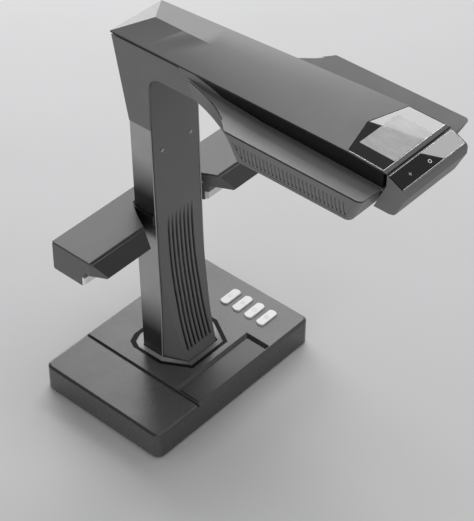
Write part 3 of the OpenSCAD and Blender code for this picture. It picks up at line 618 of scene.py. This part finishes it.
def socket_outline(inset):
    """The opening round the column's foot, as in the design"""
    front, half, rear = 35 - inset, 39.5 - inset, inset - 37
    corner = [(front, 24 - inset * 0.6), (8 - inset * 0.4, half)]
    corner += [(rear + 12, half), (rear + 4, half - 4), (rear, half - 14)]
    outline = corner + [(x, -y) for x, y in reversed(corner)]
    return [(x, y + COLUMN_Y) for x, y in outline]


def make_collar_gap():
    """A black band in the gap round the column's foot: painted shade in the groove"""
    bm = bmesh.new()
    add_band(bm, socket_outline(-0.8), socket_outline(3.0), 28.4, 30.06)
    piece("collar_gap_painted_shade", bm, level(0, 0, 0), painted_gap_shade, bevel=0.2)


def make_band_starts():
    """Tapers where the black band starts at the neck"""
    start, floor, widening = 28, 359.5, 0.036
    top = [(start, 362), (31, 371), (40, 371.3), (50, 369.5), (66, 366.5), (80, 362.5)]
    profile = top + [(80, floor), (start, floor)]
    for side, name in ((-1, "band_start_right"), (1, "band_start_left")):
        bm = bmesh.new()
        rings = []
        for half in (30.3, 31.0):
            points = [(x, side * (half + (x - start) * widening), z) for x, z in profile]
            rings.append([bm.verts.new(Vector(point) * MM) for point in points])
        bm.faces.new(rings[0])
        bm.faces.new(rings[1][::-1])
        for i in range(len(profile)):
            j = (i + 1) % len(profile)
            bm.faces.new((rings[0][i], rings[1][i], rings[1][j], rings[0][j]))
        piece(name, bm, level(0, COLUMN_Y, 0), shell)


def make_key_icons():
    """A plain mark on each key: a ring, three bars, a square, and a ring with a dot"""
    low, high = -0.02, 0.05
    for number in (1, 2, 3, 4):
        key = "key_%d" % number
        key_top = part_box(key)[1].z
        bm = bmesh.new()
        if number == 1:
            add_band(bm, circle(2.0), circle(1.6), low, high)
        elif number == 2:
            for y in (-1.5, 0.0, 1.5):
                add_slab(bm, rectangle(-1.8, y - 0.2, 1.8, y + 0.2), low, high)
        elif number == 3:
            add_band(bm, rectangle(-2, -2, 2, 2), rectangle(-1.6, -1.6, 1.6, 1.6), low, high)
        else:
            add_band(bm, circle(2.1), circle(1.7), low, high)
            add_slab(bm, circle(0.7), low, high)
        place = Matrix.Translation((*middle_of(key).xy, key_top))
        piece("key_icon_%d" % number, bm, place, key_mark, key)


def make_tongue(name, y, half, low, material):
    """A contact tongue in a socket: its middle across the base, half its width and its underside"""
    inner, outer, thick, half_contact = -61.5, -71.2, 1.6, 0.5
    tongue = rectangle(outer, y - half, inner, y + half)
    slab_piece(name, [tongue], low, low + thick, level(0, 0, 0), material, bevel=0.15)
    places = [y + half / 2.2 * k for k in (-1.5, -0.5, 0.5, 1.5)]
    contacts = [rectangle(-71.0, place - half_contact, -66, place + half_contact) for place in places]
    slab_piece(name + "_contacts", contacts, low + 1.5, low + 1.72, level(0, 0, 0), gold)


def make_ports():
    """Contact tongues inside the sockets at the back"""
    make_tongue("usb_tongue_1", -14, 5.6, 12.4, usb_blue)
    make_tongue("usb_tongue_2", 14, 5.6, 12.4, usb_blue)
    make_tongue("video_tongue", -46, 5.4, 12.9, rocker_black)
    make_tongue("accessory_tongue", 40, 3.6, 12.5, rocker_black)


make_screen()
make_touch_panel()
make_key_icons()
make_ports()
make_collar_gap()
make_band_starts()

# ---------- stage ----------

LIGHT_AIM = Vector((0.0, 0.0, 0.2))
CARD_DISTANCE = 1.11


def make_floor():
    """A large pale floor"""
    mesh = bpy.data.meshes.new("floor")
    floor = bpy.data.objects.new("floor", mesh)
    bm = bmesh.new()
    bmesh.ops.create_grid(bm, x_segments=2, y_segments=2, size=6)
    bm.to_mesh(mesh)
    bm.free()
    scene.collection.objects.link(floor)
    material, tree, shader = new_material("floor")
    vary_colour(tree, shader, (0.62, 0.62, 0.63), noise(tree, 3, 3), 0.02)
    shader.inputs["Roughness"].default_value = 0.8
    mesh.materials.append(material)


def area_light(name, azimuth, elevation, distance, size, watts, spared=""):
    """A soft light, seen from the object at azimuth (from +X towards +Y) and elevation, in degrees.
    It doesn't light the spared pieces."""
    a, e = math.radians(azimuth), math.radians(elevation)
    direction = Vector((math.cos(a) * math.cos(e), math.sin(a) * math.cos(e), math.sin(e)))
    turn = direction.to_track_quat("Z", "Y").to_matrix()
    light = place_light(name, LIGHT_AIM + direction * distance, turn, size, watts)
    if spared:
        receivers = bpy.data.collections.new(name + "_receivers")
        for other in spared.split():
            receivers.objects.link(bpy.data.objects[other])
        for link in receivers.collection_objects:
            link.light_linking.link_state = "EXCLUDE"
        light.light_linking.receiver_collection = receivers


def place_light(name, location, turn, size, watts):
    """A rectangular light that shines along the turned frame's -Z and that the camera can't see"""
    data = bpy.data.lights.new(name, "AREA")
    data.shape = "RECTANGLE"
    data.size, data.size_y = size
    data.energy = watts
    light = bpy.data.objects.new(name, data)
    matrix = turn.to_4x4()
    matrix.translation = location
    light.matrix_world = matrix
    light.visible_camera = False
    scene.collection.objects.link(light)
    return light


def reflector(name, glass, start, end, reach, watts):
    """A card that the camera sees reflected in the glass, on one side of the line from start to end,
    both in millimetres on the glass; reach is how far the card extends from that line, in metres"""
    up = glass.col[2].to_3d()
    mirrored_camera = CAMERA_PLACE - up * 2 * up.dot(CAMERA_PLACE - glass.translation)
    spots = [glass @ Vector((x * MM, y * MM, 0)) for x, y in (start, end)]
    first, last = [spot + (spot - mirrored_camera).normalized() * CARD_DISTANCE for spot in spots]
    x_axis = (last - first).normalized()
    y_axis = ((first + last) / 2 - mirrored_camera).cross(x_axis).normalized()
    turn = Matrix((x_axis, y_axis, x_axis.cross(y_axis))).transposed()
    place_light(name, (first + last + y_axis * reach) / 2, turn, ((last - first).length, reach), watts)


def make_world(strength):
    """Even white light from all sides"""
    world = bpy.data.worlds.new("studio")
    world.use_nodes = True
    world.node_tree.nodes["Background"].inputs["Color"].default_value = (1, 1, 1, 1)
    world.node_tree.nodes["Background"].inputs["Strength"].default_value = strength
    scene.world = world


make_floor()
make_world(0.34)
area_light("back_softbox", 154, 12, 2.3, (1.3, 0.7), 24)
area_light("back_upper", 129, 38, 2.4, (1.2, 1.0), 12.5,
           spared="screen_glass touch_panel display_picture nose_cover screen_bezel")
area_light("roof_softbox", 116, 20, 2.4, (0.8, 0.5), 4)
area_light("top_softbox", 60, 78, 2.2, (1.2, 1.2), 11)
area_light("left_low", -75, 8, 2.2, (1.6, 0.6), 9.5)
area_light("front_low", 5, 12, 2.4, (1.2, 0.6), 1.5)
reflector("screen_reflector", ON_SCREEN, (-33, -6.5), (90.5, 23.5), 0.095, 0.62)
reflector("touch_reflector", ON_NOSE, (-26, -21.5), (55, 43.5), 0.104, 0.5)
scene.view_settings.view_transform = "Standard"
